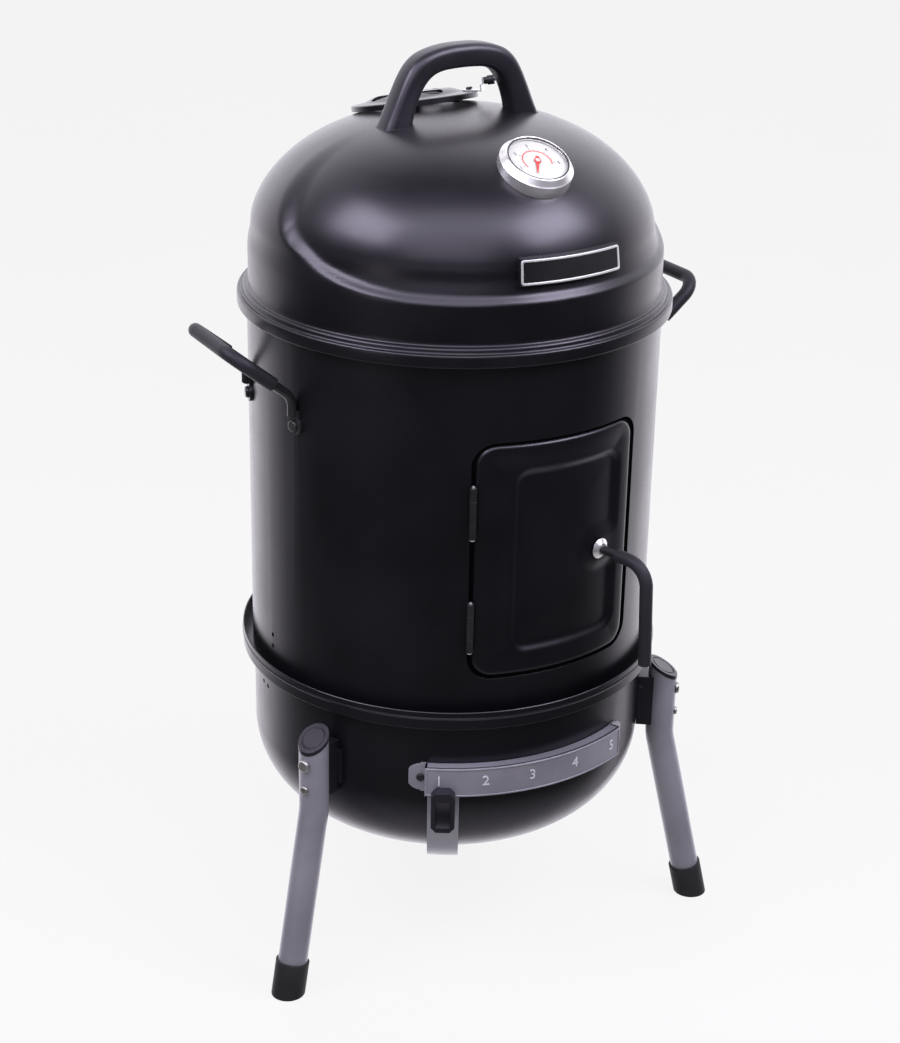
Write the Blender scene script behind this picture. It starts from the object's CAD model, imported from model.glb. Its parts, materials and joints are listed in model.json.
"""Round lidded cooker with a domed lid, a curved front door and a leaning dial.

The drum stands on z = 0 about the Z axis. The front faces -Y and +X is to its right.
Shapes are given in millimetres and scaled to metres. Azimuths are degrees from the
front, growing toward +X. The lid, handle and door skin replace CAD pieces; the rest
of the CAD pieces only get their finishes here.
"""
import json
import math
import bpy
import bmesh
import numpy as np
from mathutils import Matrix, Vector


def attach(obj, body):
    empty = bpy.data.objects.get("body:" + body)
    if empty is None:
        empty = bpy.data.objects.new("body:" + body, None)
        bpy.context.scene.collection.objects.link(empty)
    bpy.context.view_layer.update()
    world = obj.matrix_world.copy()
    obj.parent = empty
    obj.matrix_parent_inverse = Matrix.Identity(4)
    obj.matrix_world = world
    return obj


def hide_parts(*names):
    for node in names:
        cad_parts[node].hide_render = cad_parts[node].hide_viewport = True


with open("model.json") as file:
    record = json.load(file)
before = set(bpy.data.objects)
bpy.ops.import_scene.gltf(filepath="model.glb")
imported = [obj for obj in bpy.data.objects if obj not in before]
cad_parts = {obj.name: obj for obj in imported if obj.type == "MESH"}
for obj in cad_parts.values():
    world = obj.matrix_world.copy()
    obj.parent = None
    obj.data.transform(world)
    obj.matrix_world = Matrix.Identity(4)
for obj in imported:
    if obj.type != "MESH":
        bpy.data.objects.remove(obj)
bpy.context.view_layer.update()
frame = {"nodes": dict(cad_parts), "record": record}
SCENE = bpy.context.scene
MM = 0.001
SHEET = 1.5        # thickness of the lid and door metal


# ------------------------------------------------------------------ angles and curves
def sn(angle):
    return math.sin(math.radians(angle))


def cs(angle):
    return math.cos(math.radians(angle))


def at(az, r, z):
    """Point in metres at an azimuth, radius and height."""
    return Vector((r * sn(az) * MM, -r * cs(az) * MM, z * MM))


def direction(az, elevation):
    """Unit vector from the Z axis toward an azimuth and elevation."""
    return Vector((sn(az) * cs(elevation), -cs(az) * cs(elevation), sn(elevation)))


def ease(x):
    """Smooth step from 0 to 1."""
    x = min(1.0, max(0.0, x))
    return x * x * (3 - 2 * x)


# ------------------------------------------------------------------ shader helpers
def add_node(tree, kind, inputs=None, **settings):
    """Add a node; each input takes a value, a socket or a node's first output."""
    node = tree.nodes.new("ShaderNode" + kind)
    for key, value in settings.items():
        setattr(node, key, value)
    for key, value in (inputs or {}).items():
        if isinstance(value, bpy.types.Node):
            value = value.outputs[0]
        if isinstance(value, bpy.types.NodeSocket):
            tree.links.new(value, node.inputs[key])
        else:
            node.inputs[key].default_value = value
    return node


def new_material(name):
    material = bpy.data.materials.new(name)
    material.use_nodes = True
    material.node_tree.nodes.clear()
    return material, material.node_tree


def noise(tree, scale, detail=3.0, rough=0.55, stretch=None):
    vector = add_node(tree, "TexCoord").outputs["Object"]
    if stretch:
        vector = add_node(tree, "Mapping", {"Vector": vector, "Scale": stretch})
    return add_node(tree, "TexNoise", {"Vector": vector, "Scale": scale, "Detail": detail,
                                       "Roughness": rough})


def ramp(tree, source, low, high, start=0.35, end=0.65, kind="LINEAR"):
    """Map source from start..end to low..high."""
    return add_node(tree, "MapRange", {"Value": source, "From Min": start, "From Max": end,
                                       "To Min": low, "To Max": high},
                    interpolation_type=kind)


def mix(tree, factor, first, second):
    return add_node(tree, "Mix", {0: factor, 6: first, 7: second}, data_type="RGBA").outputs[2]


def dot(tree, first, second):
    node = add_node(tree, "VectorMath", {0: first, 1: second}, operation="DOT_PRODUCT")
    return node.outputs["Value"]


# ------------------------------------------------------------------ materials
MAT = {}


def surface(name, tones, rough, metal=0.0, spec=0.5, coat=0.0, coat_rough=0.2, grain=700.0,
            bump=0.05, bump_depth=0.0002, patch=9.0, rough_spread=0.05, edge_wear=0.0,
            edge_tone=None, bevel=0.0006, stretch=None, tint=None):
    """Layered finish: broad drift between two tones, fine grain in roughness and
    relief, slightly worn edges, rounded corners. patch and grain are noise scales;
    bevel and bump_depth are in metres."""
    material, tree = new_material(name)
    broad = noise(tree, scale=patch, detail=4.0, rough=0.6)
    fine = noise(tree, scale=grain, detail=2.0, rough=0.5, stretch=stretch)
    color = mix(tree, ramp(tree, broad, 0, 1), (*tones[0], 1), (*tones[1], 1))
    if edge_wear:
        # an edge shows where the rounded normal leaves the true one
        rounded = add_node(tree, "Bevel", {"Radius": 0.0012}, samples=4)
        normal = add_node(tree, "NewGeometry").outputs["Normal"]
        worn = ramp(tree, dot(tree, rounded, normal), low=edge_wear, high=0.0,
                    start=0.75, end=0.97)
        color = mix(tree, worn, color, (*edge_tone, 1))
    fine_spread = rough_spread * 0.6
    roughness = add_node(tree, "Math", {
        0: ramp(tree, broad, rough - rough_spread, rough + rough_spread),
        1: ramp(tree, fine, -fine_spread, fine_spread)}, operation="ADD")
    relief = {"Strength": bump, "Distance": bump_depth, "Height": fine}
    if bevel:
        relief["Normal"] = add_node(tree, "Bevel", {"Radius": bevel}, samples=4)
    look = {"Base Color": color, "Roughness": roughness, "Metallic": metal,
            "Specular IOR Level": spec, "Coat Weight": coat, "Coat Roughness": coat_rough,
            "Normal": add_node(tree, "Bump", relief)}
    if tint:
        look["Specular Tint"] = (*tint, 1)
    add_node(tree, "OutputMaterial", {0: add_node(tree, "BsdfPrincipled", look)})
    MAT[name] = material


def lens_material(name):
    """Clear glass that reflects faintly, from its outer side only."""
    material, tree = new_material(name)
    clear = add_node(tree, "BsdfTransparent")
    gloss = add_node(tree, "BsdfGlossy",
                     {"Roughness": ramp(tree, noise(tree, scale=40.0), low=0.02, high=0.06)})
    fresnel = add_node(tree, "Fresnel", {"IOR": 1.35})
    backfacing = add_node(tree, "NewGeometry").outputs["Backfacing"]
    outward = add_node(tree, "Math", {0: 1.0, 1: backfacing}, operation="SUBTRACT")
    softened = add_node(tree, "Math", {1: 0.22}, operation="MULTIPLY")
    reflected = add_node(tree, "Math", {0: fresnel, 1: outward}, operation="MULTIPLY")
    tree.links.new(reflected.outputs[0], softened.inputs[0])
    glass = add_node(tree, "MixShader", {0: softened, 1: clear, 2: gloss})
    add_node(tree, "OutputMaterial", {0: glass})
    MAT[name] = material


VIOLET = (0.93, 0.88, 1.0)
surface("black_enamel", tones=((0.0023, 0.0021, 0.003), (0.0034, 0.0032, 0.0044)), rough=0.36,
        coat=0.15, coat_rough=0.24, grain=420.0, bump_depth=0.00015, rough_spread=0.03,
        tint=VIOLET)
surface("silver_paint", tones=((0.235, 0.228, 0.262), (0.3, 0.291, 0.33)), rough=0.4,
        metal=0.4, grain=1600.0, bump=0.12, bump_depth=0.0001, rough_spread=0.06,
        edge_wear=0.5, edge_tone=(0.5, 0.49, 0.53))
surface("black_plastic", tones=((0.006, 0.0057, 0.0075), (0.01, 0.0095, 0.0125)), rough=0.38,
        spec=0.6, tint=VIOLET, grain=1500.0, bump=0.22, bump_depth=0.00015, bevel=0.0012)
surface("plaque_black", tones=((0.008, 0.008, 0.009), (0.014, 0.014, 0.015)), rough=0.3,
        grain=900.0, bump=0.04, bevel=0.0008)
surface("foot_rubber", tones=((0.012, 0.012, 0.013), (0.022, 0.021, 0.022)), rough=0.62,
        spec=0.35, grain=900.0, bump=0.3, bump_depth=0.0003, bevel=0.002)
surface("black_steel", tones=((0.009, 0.009, 0.01), (0.018, 0.018, 0.02)), rough=0.36,
        grain=900.0, bump=0.08, bevel=0.0005, edge_wear=0.25, edge_tone=(0.06, 0.06, 0.06))
surface("zinc_steel", tones=((0.36, 0.35, 0.33), (0.5, 0.49, 0.47)), rough=0.36, metal=0.9,
        grain=500.0, bump=0.08, patch=60.0, rough_spread=0.1, bevel=0.0003)
surface("grate_steel", tones=((0.05, 0.045, 0.042), (0.1, 0.085, 0.075)), rough=0.6,
        metal=0.6, grain=300.0, bump=0.3, bump_depth=0.0004, patch=30.0)
surface("grip_sleeve", tones=((0.013, 0.0125, 0.015), (0.019, 0.0182, 0.0215)), rough=0.55,
        spec=0.3, tint=VIOLET, grain=1100.0, bump=0.1, bevel=0.0008)
surface("bright_steel", tones=((0.84, 0.83, 0.83), (0.92, 0.91, 0.91)), rough=0.3,
        metal=0.85, grain=60.0, bump=0.03, bump_depth=0.0001, patch=25.0, bevel=0.0004,
        stretch=(1, 1, 30))
surface("plated_grate", tones=((0.5, 0.49, 0.47), (0.62, 0.6, 0.57)), rough=0.25,
        metal=0.95, grain=400.0, patch=25.0, rough_spread=0.08)
surface("pan_enamel", tones=((0.012, 0.012, 0.015), (0.022, 0.022, 0.027)), rough=0.22,
        coat=0.4, grain=500.0, bump=0.1, patch=300.0)
surface("dial_white", tones=((0.5, 0.5, 0.46), (0.53, 0.53, 0.49)), rough=0.7, spec=0.2,
        grain=1500.0, bump=0.03, bevel=0.0)
surface("pointer_red", tones=((0.5, 0.03, 0.03), (0.6, 0.05, 0.04)), rough=0.35,
        grain=1500.0, bump=0.03, bevel=0.0)
surface("pale_border", tones=((0.6, 0.6, 0.6), (0.7, 0.7, 0.69)), rough=0.3, metal=0.5,
        grain=1200.0, bump=0.04, bevel=0.0003)
surface("print_grey", tones=((0.06, 0.06, 0.065), (0.09, 0.09, 0.095)), rough=0.6,
        grain=1500.0, bump=0.03, bevel=0.0)
surface("print_black", tones=((0.01, 0.01, 0.01), (0.02, 0.02, 0.02)), rough=0.5,
        grain=1500.0, bump=0.03, bevel=0.0)
surface("mark_light", tones=((0.46, 0.45, 0.48), (0.54, 0.53, 0.56)), rough=0.4, metal=0.1,
        grain=1500.0, bevel=0.0)
surface("gap_black", tones=((0.0015, 0.0015, 0.0018), (0.0022, 0.0022, 0.0025)), rough=0.9,
        spec=0.0, grain=900.0, bevel=0.0)
surface("mark_dark", tones=((0.03, 0.03, 0.035), (0.045, 0.044, 0.05)), rough=0.5,
        grain=1500.0, bevel=0.0)
lens_material("lens_glass")

# pieces whose finish differs from the rest of their slot
FINISH = {"door_frame": "gap_black", "leg_screws_upper": "zinc_steel",
          "leg_screws_lower": "zinc_steel", "latch_rod": "black_steel"}
slot_of = {part["node"]: part["material_slot"] for part in frame["record"]["subparts"]}
for node_name, piece in frame["nodes"].items():
    piece.data.materials.clear()
    piece.data.materials.append(MAT[FINISH.get(node_name, slot_of[node_name])])


# ------------------------------------------------------------------ mesh helpers
def soften(ob, angle):
    """Shade smooth, with edges sharper than the angle kept crisp."""
    mesh = ob.data
    mesh.polygons.foreach_set("use_smooth", [True] * len(mesh.polygons))
    mesh.update()
    mesh.set_sharp_from_angle(angle=math.radians(angle))


def add_mesh(name, verts, faces, material, body=None, smooth=40.0):
    mesh = bpy.data.meshes.new(name)
    mesh.from_pydata([tuple(v) for v in verts], [], faces)
    mesh.validate()
    bm = bmesh.new()
    bm.from_mesh(mesh)
    bmesh.ops.recalc_face_normals(bm, faces=bm.faces)
    bm.to_mesh(mesh)
    bm.free()
    ob = bpy.data.objects.new(name, mesh)
    SCENE.collection.objects.link(ob)
    mesh.materials.append(MAT[material])
    soften(ob, smooth)
    if body:
        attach(ob, body)
    return ob


def skin(rings, loop=False):
    """Join closed rings of equal length; loop also joins the last to the first."""
    size, count = len(rings[0]), len(rings)
    faces = []
    for i in range(count if loop else count - 1):
        here, there = i * size, (i + 1) % count * size
        for j in range(size):
            k = (j + 1) % size
            faces.append((here + j, here + k, there + k, there + j))
    return [v for ring in rings for v in ring], faces


def capped(rings, turned=False):
    """Skin rings and close both ends; turned reverses the order of the cap corners."""
    verts, faces = skin(rings)
    size = len(rings[0])
    first = tuple(range(size))
    last = tuple(range(len(verts) - size, len(verts)))
    faces += [first, last[::-1]] if turned else [first[::-1], last]
    return verts, faces


def shifted(faces, offset):
    return [tuple(i + offset for i in face) for face in faces]


def merged(parts):
    """Join (verts, faces) pairs into one pair."""
    verts, faces = [], []
    for part_verts, part_faces in parts:
        faces += shifted(part_faces, len(verts))
        verts += part_verts
    return verts, faces


def add_merged(name, parts, material, body):
    return add_mesh(name, *merged(parts), material, body, smooth=30)


def frame_line(name, az, z, radius_at, r_ref, inset, width, corner, lift, material, body):
    """Raised line along a rounded rectangle on a curved face. az and z are its ranges;
    inset draws in its two ends; r_ref turns azimuth into arc length."""
    x0 = math.radians(az[0]) * r_ref + inset
    x1 = math.radians(az[1]) * r_ref - inset
    z0, z1 = z
    path = []        # arc centre x, z and outward normal x, z
    for x, z, start in ((x1 - corner, z1 - corner, 0), (x0 + corner, z1 - corner, 90),
                        (x0 + corner, z0 + corner, 180), (x1 - corner, z0 + corner, 270)):
        for k in range(9):
            angle = start + 90.0 * k / 8
            path.append((x, z, cs(angle), sn(angle)))
    stations = []    # the same path in steps of about 3 mm
    for k, here in enumerate(path):
        there = path[(k + 1) % len(path)]
        length = math.hypot(there[0] + corner * there[2] - here[0] - corner * here[2],
                            there[1] + corner * there[3] - here[1] - corner * here[3])
        steps = max(1, int(length / 3.0))
        for s in range(steps):
            t = s / steps
            stations.append([here[i] * (1 - t) + there[i] * t for i in range(4)])
    # distance in from the outline, height above the face
    line_section = ((0.0, -1.0), (0.0, lift * 0.7), (0.25, lift),
                    (width - 0.25, lift), (width, lift * 0.7), (width, -1.0))
    rings = []
    for centre_x, centre_z, normal_x, normal_z in stations:
        ring = []
        for inward, height in line_section:
            x = centre_x + normal_x * (corner - inward)
            z = centre_z + normal_z * (corner - inward)
            ring.append(at(math.degrees(x / r_ref), radius_at(z) + height, z))
        rings.append(ring)
    return add_mesh(name, *skin(rings, loop=True), material, body, smooth=60)


def numeral(text, size, place, depth):
    """Outline numeral as a mesh, laid on a surface by place(x, y, height)."""
    curve = bpy.data.curves.new("num_" + text, "FONT")
    curve.body = text
    curve.size = size
    curve.align_x = "CENTER"
    curve.align_y = "CENTER"
    curve.extrude = depth / 2
    curve.bevel_depth = depth * 0.15
    temp = bpy.data.objects.new("num_tmp", curve)
    SCENE.collection.objects.link(temp)
    graph = bpy.context.evaluated_depsgraph_get()
    mesh = bpy.data.meshes.new_from_object(temp.evaluated_get(graph))
    bpy.data.objects.remove(temp)
    verts = [place(v.co.x, v.co.y, v.co.z + depth / 2) for v in mesh.vertices]
    return verts, [tuple(p.vertices) for p in mesh.polygons]


# ------------------------------------------------------------------ lid
DOME_Z, DOME_TALL, DOME_R = 769.4, 105.9, 204.97    # foot, rise and foot radius of the dome
DOME_POWER_R, DOME_POWER_Z = 2.6, 1.63              # how square its curve is
WALL_R, WALL_TOP = 208.5, 741.0                     # upright wall under the dome

# rolled hem at the lid's lower edge: radius, z
LID_HEM = [
    (218.4, 688.2), (218.6, 687.2), (219.4, 686.9), (220.0, 687.6), (220.1, 691.0),
    (220.0, 696.5), (219.6, 698.6), (218.4, 699.6), (216.6, 699.2), (215.2, 699.0),
    (214.2, 700.6), (213.8, 703.2), (212.2, 704.6), (210.6, 704.4), (209.2, 705.2),
    (208.6, 707.4), (208.5, 711.0)]
# inner side of the hem, downward: radius, z
HEM_INSIDE = [(207.0, 706.0), (207.2, 699.0), (208.0, 697.2), (217.0, 697.2),
              (218.0, 696.2), (218.2, 690.0)]
WALL_LEVELS = (716.0, 722.0, 728.0, 733.0, 736.5, 739.0, WALL_TOP)
SHOULDER_LEVELS = (742.5, 744, 745.5, 747, 748.5, 750, 751.5, 753, 755, 757.5, 760, 763, 766)

# brow line around the pressed-in front, one side: azimuth, z
CREASE = [
    (0, 747.5), (30, 747.5), (45, 748.3), (55, 751.5), (63, 756.5), (70, 763.5),
    (76, 771.5), (82, 780.0), (85.5, 788.0), (88, 799.0), (91, 816.0), (93.3, 833.0),
    (94.8, 846.0), (95.6, 856.0)]
CREASE_R = 200.0     # radius that turns azimuth into arc length
crease_line = np.array([(az * math.pi / 180 * CREASE_R, z) for az, z in CREASE])
# how far the front is pressed in: z, depth
PRESS_DEPTH = [(753, 5.6), (765, 6.6), (777, 7.2), (800, 6.4), (820, 5.4), (840, 4.2),
               (852, 2.6), (860, 1.0), (866, 0.0)]

PORT_Y, PORT_TILT = 84.0, 78.0          # centre of the ports behind the top, their tilt
PORT_PITCH_R, PORT_R = 36.0, 11.5


def dome_z(r):
    return DOME_Z + DOME_TALL * max(0.0, 1 - (r / DOME_R) ** DOME_POWER_R) ** (1 / DOME_POWER_Z)


def dome_r(z):
    return DOME_R * max(0.0, 1 - ((z - DOME_Z) / DOME_TALL) ** DOME_POWER_Z) ** (1 / DOME_POWER_R)


def crease_side(az, z):
    """Signed distance to the brow line; positive inside the pressed-in front."""
    az = abs(az)
    point = np.array((az * math.pi / 180 * CREASE_R, z))
    start = crease_line[:-1]
    run = crease_line[1:] - start
    t = np.clip(((point - start) * run).sum(1) / (run * run).sum(1), 0, 1)
    foot = start + run * t[:, None]
    gap = np.hypot(*(point - foot).T)
    k = int(gap.argmin())
    side = run[k][0] * (point[1] - foot[k][1]) - run[k][1] * (point[0] - foot[k][0])
    if side > 0 or (z > CREASE[-1][1] and az < 96):
        return gap[k]
    return -gap[k]


def brow(az, z):
    """How far the lid is pressed in at this place."""
    if z < 738 or z > 868 or abs(az) > 100:
        return 0.0
    blend = 5.0 + 13.0 * ease((z - 762.0) / 60.0)
    depth = float(np.interp(z, *zip(*PRESS_DEPTH)))
    return depth * ease((crease_side(az, z) + blend) / (2 * blend))


def rounded_line(points, passes):
    """Round a polyline by cutting its corners, keeping both ends."""
    line = np.array(points, float)
    for _ in range(passes):
        cut = [line[0]]
        for i in range(len(line) - 1):
            cut.append(line[i] * 0.75 + line[i + 1] * 0.25)
            cut.append(line[i] * 0.25 + line[i + 1] * 0.75)
        cut.append(line[-1])
        line = np.array(cut)
    return line


def lid_profile():
    """Outer profile from hem to top as (radius, z), and how many points are hem."""
    hem = [tuple(p) for p in rounded_line(LID_HEM, 2)]
    side = [(WALL_R, z) for z in WALL_LEVELS]
    side += [(WALL_R - (WALL_R - DOME_R) * ease((z - WALL_TOP) / (DOME_Z - WALL_TOP)) ** 1.3, z)
             for z in SHOULDER_LEVELS]
    side += [(dome_r(z), z) for z in np.arange(DOME_Z, 845.0, 2.6)]
    # over the top, step by radius instead of height
    side += [(r, dome_z(r)) for r in list(np.arange(side[-1][0] - 3.0, 6.0, -4.0)) + [3.0]]
    return np.array(hem + side), len(hem)


def fan(start, size, tip):
    return [(start + j, start + (j + 1) % size, tip) for j in range(size)]


def lid_mesh():
    profile, hem_count = lid_profile()
    slope = np.gradient(profile, axis=0)
    normals = np.stack([slope[:, 1], -slope[:, 0]], 1)
    normals /= np.linalg.norm(normals, axis=1)[:, None]
    # more columns where the brow climbs the sides
    azimuths = sorted({-180 + 360.0 * k / 240 for k in range(240)}
                      | set(np.arange(-100, -82, 0.5)) | set(np.arange(82, 100.1, 0.5)))
    size = len(azimuths)
    pressed = [[brow(az, z) for z in profile[:, 1]] for az in azimuths]
    outer = [[at(az, r - pressed[k][i], z) for k, az in enumerate(azimuths)]
             for i, (r, z) in enumerate(profile)]
    inner = []
    for i in range(len(profile) - 1, hem_count - 1, -1):
        r, z = profile[i]
        inner.append([at(az, max(0.5, r - pressed[k][i] - normals[i, 0] * SHEET),
                         z - normals[i, 1] * SHEET) for k, az in enumerate(azimuths)])
    inner += [[at(az, r, z) for az in azimuths] for r, z in HEM_INSIDE]

    verts, faces = skin(outer)
    faces += fan(len(verts) - size, size, tip=len(verts))
    verts.append(Vector((0, 0, dome_z(0) * MM)))
    base = len(verts)
    inner_verts, inner_faces = skin(inner)
    verts += inner_verts
    faces += shifted(inner_faces, base)
    last = len(verts) - size
    faces += fan(base, size, tip=len(verts))
    verts.append(Vector((0, 0, (dome_z(0) - SHEET) * MM)))
    # close the lower edge between the two skins
    faces += [(last + j, last + (j + 1) % size, (j + 1) % size, j) for j in range(size)]
    return verts, faces


def port_cutter():
    """Four round plugs through the rear of the dome, on a circle square to it."""
    plate = (Matrix.Translation(Vector((0, PORT_Y, dome_z(PORT_Y))) * MM)
             @ Matrix.Rotation(math.radians(-1.8), 4, Vector((0.53, 0.848, 0.0)).normalized())
             @ Matrix.Rotation(-math.radians(90 - PORT_TILT), 4, "X")
             @ Matrix.Translation(Vector((0, 0, 2.0)) * MM))
    plugs = []
    for k in range(4):
        x, y = PORT_PITCH_R * cs(45 + 90 * k), PORT_PITCH_R * sn(45 + 90 * k)
        plugs.append(capped([
            [plate @ (Vector((x + PORT_R * cs(j * 11.25), y + PORT_R * sn(j * 11.25), z)) * MM)
             for j in range(32)] for z in (-12, 12)]))
    return add_mesh("vent_cutter", *merged(plugs), "black_enamel")


def build_lid():
    lid = add_mesh("lid_dome", *lid_mesh(), "black_enamel", smooth=55)
    cutter = port_cutter()
    ports = lid.modifiers.new("ports", "BOOLEAN")
    ports.object = cutter
    ports.solver = "EXACT"
    graph = bpy.context.evaluated_depsgraph_get()
    cut_mesh = bpy.data.meshes.new_from_object(lid.evaluated_get(graph))
    lid.modifiers.clear()
    lid.data = cut_mesh
    bpy.data.objects.remove(cutter)
    soften(lid, 55)
    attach(lid, "lid")
    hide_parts("lid_shell")


build_lid()

# ------------------------------------------------------------------ lid handle
# right half of the arch, crown to foot: outer x, z, inner x, z, half width in y
HANDLE = np.array([
    (0.0, 943.0, 0.0, 920.6, 13.2),
    (10.0, 942.9, 6.0, 920.5, 13.2),
    (20.0, 942.1, 13.0, 920.2, 13.2),
    (33.0, 939.8, 22.0, 919.4, 13.3),
    (46.0, 935.4, 31.0, 916.9, 13.5),
    (56.0, 928.0, 39.0, 912.0, 13.7),
    (64.0, 917.0, 46.0, 903.8, 13.9),
    (72.5, 900.0, 51.5, 893.0, 14.1),
    (80.5, 882.0, 55.5, 880.5, 14.3),
    (86.5, 869.0, 58.0, 869.0, 14.5),
    (88.0, 864.0, 58.8, 864.0, 14.6),
])


def dense_rows(table, count):
    """Smooth curve through the rows of a table, sampled evenly."""
    rows = []
    last = len(table) - 1
    for x in np.linspace(0, last, count):
        i = int(min(last - 1, math.floor(x)))
        f = x - i
        p0, p1, p2, p3 = table[max(0, i - 1)], table[i], table[i + 1], table[min(last, i + 2)]
        rows.append(0.5 * ((2 * p1) + (-p0 + p2) * f + (2 * p0 - 5 * p1 + 4 * p2 - p3) * f * f
                           + (-p0 + 3 * p1 - 3 * p2 + p3) * f ** 3))
    return rows


def handle_section(row, side):
    """Soft rectangle between the outer and inner line, slightly crowned outside."""
    outer = row[0:2] * np.array((side, 1))
    inner = row[2:4] * np.array((side, 1))
    half_y = row[4]
    centre = (outer + inner) / 2
    half = np.linalg.norm((outer - inner) / 2)
    outward = (outer - inner) / 2 / half
    corner = min(7.5, half * 0.62)
    points = []
    for sign_out, sign_y, start in ((1, 1, 0), (-1, 1, 90), (-1, -1, 180), (1, -1, 270)):
        for k in range(6):
            angle = start + 90.0 * k / 5
            out = sign_out * (half - corner) + corner * cs(angle)
            y = sign_y * (half_y - corner) + corner * sn(angle)
            crown = 0.8 * (1 - (y / half_y) ** 2) if out > 0 else 0.0
            x, z = centre + outward * (out + crown)
            points.append(Vector((x, y, z)))
    return points


def build_handle():
    rows = dense_rows(HANDLE, 44)
    rings = [handle_section(row, -1) for row in rows[:0:-1]]
    rings += [handle_section(row, 1) for row in rows]
    # the feet sink into the dome and the next rings stay just above it
    for ring in (rings[0], rings[-1]):
        for p in ring:
            p.z = dome_z(math.hypot(p.x, p.y)) - 0.3
    for k in (1, 2, 3):
        for ring in (rings[k], rings[-1 - k]):
            for p in ring:
                p.z = max(p.z, dome_z(math.hypot(p.x, p.y)) + 0.2 * k)
    rings = [[p * MM for p in ring] for ring in rings]
    handle = add_mesh("lid_grip_arch", *capped(rings), "black_plastic", "lid", smooth=50)
    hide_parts("lid_handle")


build_handle()

# ------------------------------------------------------------------ door skin
DRUM_R = 210.0
DOOR_R = 211.2                                          # outer face of the door
DOOR_X = (DRUM_R * sn(-25.7), DRUM_R * sn(24.9))
DOOR_Z = (362.0, 606.0)
DOOR_CORNER = 20.0
DOOR_ROLL = 4.0                                         # rounding of the outer rim
PANEL_GROW = 1.5
PANEL_X = (DRUM_R * sn(-15.0) - PANEL_GROW, DRUM_R * sn(20.0) + PANEL_GROW)
PANEL_Z = (384.6 - PANEL_GROW, 579.0 + PANEL_GROW)
BOSS_X, BOSS_Z = DRUM_R * sn(12.9), 477.5               # flat left standing in the panel
DOOR_MID_X, DOOR_MID_Z = sum(DOOR_X) / 2, sum(DOOR_Z) / 2
DOOR_HALF_X, DOOR_HALF_Z = (DOOR_X[1] - DOOR_X[0]) / 2, (DOOR_Z[1] - DOOR_Z[0]) / 2
DOOR_COLS, DOOR_ROWS = 100, 130


def depth_inside(x, z, x_range, z_range, corner):
    """Distance inward from the outline of a rounded rectangle."""
    over_x = abs(x - sum(x_range) / 2) - (x_range[1] - x_range[0]) / 2 + corner
    over_z = abs(z - sum(z_range) / 2) - (z_range[1] - z_range[0]) / 2 + corner
    return -(math.hypot(max(over_x, 0), max(over_z, 0)) + min(max(over_x, over_z), 0) - corner)


def door_height(x, z):
    """Relief of the door against its outer face."""
    rim = depth_inside(x, z, DOOR_X, DOOR_Z, DOOR_CORNER)
    height = 0.0
    if rim < DOOR_ROLL:
        height -= DOOR_ROLL - math.sqrt(max(0.0, DOOR_ROLL ** 2 - (DOOR_ROLL - rim) ** 2))
    # the frame falls gently toward the pressed panel
    height -= 1.7 * ease((rim - 5.0) / 24.0)
    panel = depth_inside(x, z, PANEL_X, PANEL_Z, 18.0)
    # the boss reaches 40 mm farther toward +X
    dx = x - BOSS_X
    if dx > 0:
        dx = max(0.0, dx - 40.0)
    off_boss = ease((math.hypot(dx, z - BOSS_Z) - 10.5) / 17.0)
    height -= 3.6 * ease(panel / 9.0) * off_boss
    height += 0.9 * ease((panel - 10.0) / 45.0) * off_boss
    return height


def to_door(u, v):
    """Place a point of the -1..1 square on the door's flat outline."""
    k = max(abs(u), abs(v))
    if k < 1e-9:
        return DOOR_MID_X, DOOR_MID_Z
    rim_x, rim_z = u / k * DOOR_HALF_X, v / k * DOOR_HALF_Z
    x, z = abs(rim_x), abs(rim_z)
    flat_x, flat_z = DOOR_HALF_X - DOOR_CORNER, DOOR_HALF_Z - DOOR_CORNER
    if x > flat_x and z > flat_z:
        dx, dz = x - flat_x, z - flat_z
        length = math.hypot(dx, dz)
        x, z = flat_x + DOOR_CORNER * dx / length, flat_z + DOOR_CORNER * dz / length
    rim_x, rim_z = math.copysign(x, rim_x), math.copysign(z, rim_z)
    # near the middle keep an even square grid, near the rim follow the outline
    w = k ** 3
    return (DOOR_MID_X + ((1 - w) * (u * DOOR_HALF_X) + w * (k * rim_x)),
            DOOR_MID_Z + ((1 - w) * (v * DOOR_HALF_Z) + w * (k * rim_z)))


def grid_steps(count):
    """-1..1 in steps that crowd at both ends, where the rim turns over."""
    steps = np.linspace(-1, 1, count + 1)
    return np.sign(steps) * (1 - (1 - np.abs(steps)) ** 1.12)


def build_door():
    verts, faces = [], []
    for thickness in (0.0, SHEET):
        for v in grid_steps(DOOR_ROWS):
            for u in grid_steps(DOOR_COLS):
                x, z = to_door(u, v)
                az = math.degrees(math.asin(x / DRUM_R))
                verts.append(at(az, DOOR_R + door_height(x, z) - thickness, z))
    row = DOOR_COLS + 1
    back = row * (DOOR_ROWS + 1)        # first vertex of the inner layer
    for i in range(DOOR_ROWS):
        for j in range(DOOR_COLS):
            a = i * row + j
            faces.append((a, a + 1, a + row + 1, a + row))
            faces.append((back + a, back + a + row, back + a + row + 1, back + a + 1))
    rim = list(range(row))
    rim += [i * row + DOOR_COLS for i in range(1, DOOR_ROWS + 1)]
    rim += [DOOR_ROWS * row + j for j in range(DOOR_COLS - 1, -1, -1)]
    rim += [i * row for i in range(DOOR_ROWS - 1, 0, -1)]
    for a, b in zip(rim, rim[1:] + rim[:1]):
        faces.append((a, back + a, back + b, b))
    door = add_mesh("door_skin", verts, faces, "black_enamel", "door", smooth=50)
    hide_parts("door_panel")


build_door()


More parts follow.
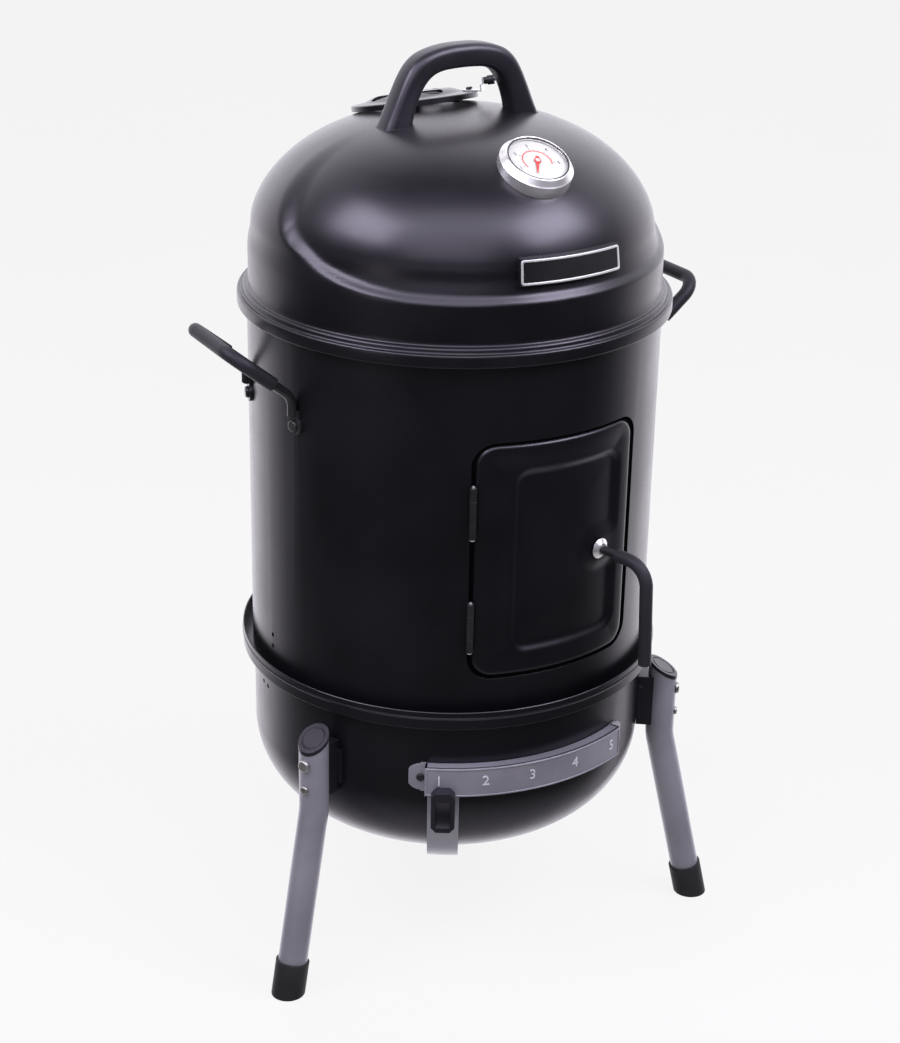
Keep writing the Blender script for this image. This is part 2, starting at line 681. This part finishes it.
# ------------------------------------------------------------------ plaque border
def plaque_r(z):
    """Radius of the plaque's face, which leans in toward the top."""
    return 206.0 - 3.4 * (z - 760.0) / 25.0


border = frame_line("plaque_border", az=(-15.0, 17.0), z=(760.8, 784.2), radius_at=plaque_r,
                    r_ref=205.0, inset=0.8, width=2.2, corner=3.0, lift=0.8,
                    material="pale_border", body="lid")

# ------------------------------------------------------------------ numbered scale
SCALE_R = 220.5
SCALE_TURN = -6.5                # the band is turned about Z by this
SCALE_AZ = (-30.75, 29.6)        # its ends before the turn
NUMERAL_Z = 249.2
SCALE_NUMERALS = (("1", -33.5), ("2", -21.2), ("3", -8.3), ("4", 5.0), ("5", 19.0))
FLANGE_SECTION = ((209.2, 262.6), (209.2, 264.2), (220.2, 264.2), (220.2, 262.6))   # r, z


def build_scale():
    numerals = []
    for text, az in SCALE_NUMERALS:
        numerals.append(numeral(
            text, size=15.5, depth=0.7,
            place=lambda x, y, h: at(az + math.degrees(x / SCALE_R), SCALE_R + h - 0.05,
                                     NUMERAL_Z + y)))
    marks = add_merged("scale_numerals", numerals, "mark_light", "base")

    rib = frame_line("scale_edge_rib", az=SCALE_AZ, z=(232.6, 263.6),
                     radius_at=lambda z: SCALE_R, r_ref=SCALE_R, inset=1.0, width=1.4,
                     corner=2.0, lift=0.7, material="silver_paint", body="base")
    rib.data.transform(Matrix.Rotation(math.radians(SCALE_TURN), 4, "Z"))

    span = SCALE_AZ[1] - SCALE_AZ[0]
    rings = [[at(SCALE_TURN + SCALE_AZ[0] + span * k / 60, r, z) for r, z in FLANGE_SECTION]
             for k in range(61)]
    flange = add_mesh("scale_top_flange", *capped(rings, turned=True), "silver_paint", "base",
                      smooth=40)


build_scale()

# ------------------------------------------------------------------ dial face
DIAL_TILT, DIAL_R = 62.5, 136.5       # tilt, and distance of its centre from the axis
DIAL_FACE = 8.8                       # height of the printed face in the dial's frame
DIAL_INK = DIAL_FACE + 0.12
DIAL_START, DIAL_SWEEP = -105, 210    # clockwise from the top of the dial
dial_frame = (Matrix.Translation(Vector((0, -DIAL_R, dome_z(DIAL_R) - 0.6)) * MM)
              @ Matrix.Rotation(math.radians(90 - DIAL_TILT), 4, "X"))


def on_dial(x, y, height):
    return dial_frame @ (Vector((x, y, height)) * MM)


def annulus(r, height, angles=(0, 360), steps=72):
    """Flat ring, or part of one, between two radii and two heights."""
    start, end = angles
    full = end - start == 360
    corners = ((r[0], height[0]), (r[0], height[1]), (r[1], height[1]), (r[1], height[0]))
    rings = []
    for k in range(steps if full else steps + 1):
        a = start + (end - start) * k / steps
        rings.append([on_dial(radius * sn(a), radius * cs(a), h) for radius, h in corners])
    return skin(rings, loop=True) if full else capped(rings, turned=True)


def build_dial():
    ink = (DIAL_FACE, DIAL_INK)
    arc = add_merged("dial_red_arc", [annulus((13.9, 15.0), ink, (-113, 116))],
                     "pointer_red", "lid")
    ring = add_merged("dial_black_ring", [annulus((28.9, 30.3), (12.0, 12.34))],
                      "print_black", "lid")
    ticks = []
    for k in range(13):
        a = DIAL_START + DIAL_SWEEP * k / 12
        ticks.append(annulus((15.4, 16.6 if k % 3 else 18.2), ink, (a - 0.7, a + 0.7), steps=1))
    tick_marks = add_merged("dial_ticks", ticks, "print_grey", "lid")
    numerals = []
    for k in range(5):
        a = DIAL_START + DIAL_SWEEP * k / 4
        numerals.append(numeral(
            str(k + 1), size=5.4, depth=0.15,
            place=lambda x, y, h: on_dial(21.8 * sn(a) + x, 21.8 * cs(a) + y, DIAL_FACE + h)))
    numbers = add_merged("dial_numbers", numerals, "print_grey", "lid")
    hub = add_merged("pointer_hub_cap", [annulus((0.4, 2.2), (10.3, 10.6), steps=36)],
                     "dial_white", "thermometer_needle")


build_dial()

# ------------------------------------------------------------------ floor and world
CAMERA_AZ = -32.0
TO_CAMERA = Vector((sn(CAMERA_AZ), -cs(CAMERA_AZ), 0.0))
# What the finish mirrors: bright away from the camera, dim toward it. start and end
# are cosines from the direction the camera looks in; low and high are strengths.
MIRROR = dict(start=0.1, end=0.82, high=2.0, kind="SMOOTHSTEP")
MIRROR_LOW = 0.03


def floor_material():
    """Pale floor that shows mirrored rays a graded light instead of itself."""
    material, tree = new_material("floor_pale")
    tone = mix(tree, ramp(tree, noise(tree, scale=1.5), 0, 1),
               (0.055, 0.055, 0.055, 1), (0.06, 0.06, 0.06, 1))
    matte = add_node(tree, "BsdfPrincipled", {"Base Color": tone, "Roughness": 0.9,
                                              "Specular IOR Level": 0.0})
    glow = add_node(tree, "Emission", {"Color": (1, 1, 1, 1), "Strength": 0.865})
    seen = add_node(tree, "AddShader", {0: matte, 1: glow})
    incoming = add_node(tree, "NewGeometry").outputs["Incoming"]
    backdrop = ramp(tree, dot(tree, incoming, TO_CAMERA), low=MIRROR_LOW * 0.6, **MIRROR)
    # rays that strike the floor steeply see more light
    upward = add_node(tree, "SeparateXYZ", {0: incoming}).outputs[2]
    steep = ramp(tree, upward, low=0.0, high=0.5, start=0.45, end=0.95, kind="SMOOTHSTEP")
    strength = add_node(tree, "Math", {0: backdrop, 1: steep}, operation="ADD")
    mirrored = add_node(tree, "Emission", {"Color": (0.96, 0.93, 1.0, 1),
                                           "Strength": strength})
    is_glossy = add_node(tree, "LightPath").outputs["Is Glossy Ray"]
    both = add_node(tree, "MixShader", {0: is_glossy, 1: seen, 2: mirrored})
    add_node(tree, "OutputMaterial", {0: both})
    return material


def build_floor():
    half = 14      # metres
    mesh = bpy.data.meshes.new("floor")
    mesh.from_pydata([(-half, -half, 0), (half, -half, 0), (half, half, 0), (-half, half, 0)],
                     [], [(0, 1, 2, 3)])
    floor = bpy.data.objects.new("floor", mesh)
    floor.location.z = -0.0006
    SCENE.collection.objects.link(floor)
    mesh.materials.append(floor_material())


def build_world():
    """Even grey for the camera, a graded room for every other ray."""
    world = bpy.data.worlds.new("studio")
    SCENE.world = world
    world.use_nodes = True
    tree = world.node_tree
    tree.nodes.clear()
    view = add_node(tree, "TexCoord").outputs["Generated"]
    strength = ramp(tree, dot(tree, view, -TO_CAMERA), low=MIRROR_LOW, **MIRROR)
    room = add_node(tree, "Background", {"Color": (0.95, 0.93, 1.0, 1), "Strength": strength})
    plain = add_node(tree, "Background", {"Color": (0.93, 0.93, 0.93, 1), "Strength": 1.0})
    is_camera = add_node(tree, "LightPath").outputs["Is Camera Ray"]
    both = add_node(tree, "MixShader", {0: is_camera, 1: room, 2: plain})
    add_node(tree, "OutputWorld", {0: both})


build_floor()
build_world()

# ------------------------------------------------------------------ lights
COOL = (0.88, 0.855, 1.0)


def area_light(name, az, elevation, distance, size, power, color=COOL, aim=(0, 0, 0.55)):
    """Rectangular light aimed at a point; distances in metres, power in watts."""
    light = bpy.data.lights.new(name, "AREA")
    light.shape = "RECTANGLE"
    light.size, light.size_y = size
    light.energy = power
    light.color = color
    ob = bpy.data.objects.new(name, light)
    outward = direction(az, elevation)
    ob.location = Vector(aim) + outward * distance
    ob.rotation_mode = "QUATERNION"
    ob.rotation_quaternion = (-outward).to_track_quat("-Z", "Y")
    SCENE.collection.objects.link(ob)


area_light("key_left", az=-94.0, elevation=44.0, distance=2.5, size=(1.5, 1.1), power=50.0)
area_light("key_right", az=36.0, elevation=45.0, distance=2.5, size=(1.5, 1.1), power=62.0)
area_light("key_top", az=-30.0, elevation=58.0, distance=2.4, size=(1.8, 1.0), power=22.0)
area_light("front_soft", az=-36.0, elevation=34.0, distance=2.6, size=(2.0, 1.1), power=16.0)
area_light("low_front", az=-72.0, elevation=6.0, distance=3.2, size=(0.8, 0.8), power=3.0,
           color=(1.0, 0.98, 1.0), aim=(0, 0, 0.25))


# ------------------------------------------------------------------ camera
def build_camera(elevation, distance, roll, aim_z, lens):
    """Camera aimed at the axis at height aim_z (metres), rolled about its view."""
    data = bpy.data.cameras.new("cam")
    data.sensor_width = 36.0
    data.sensor_fit = "AUTO"
    data.lens = lens
    data.clip_start, data.clip_end = 0.05, 60.0
    camera = bpy.data.objects.new("cam", data)
    SCENE.collection.objects.link(camera)
    back = direction(CAMERA_AZ, elevation)
    place = Vector((0, 0, aim_z)) + back * distance
    forward = -back
    level = forward.cross(Vector((0, 0, 1))).normalized()
    upright = level.cross(forward).normalized()
    right = level * cs(roll) + upright * sn(roll)
    up = upright * cs(roll) - level * sn(roll)
    rows = [(right[i], up[i], back[i], place[i]) for i in range(3)]
    camera.matrix_world = Matrix((*rows, (0, 0, 0, 1)))
    SCENE.camera = camera


build_camera(elevation=23.608, distance=2.2934, roll=1.177, aim_z=0.4378, lens=74.65426654)
SCENE.view_settings.view_transform = "Standard"
SCENE.view_settings.look = "None"
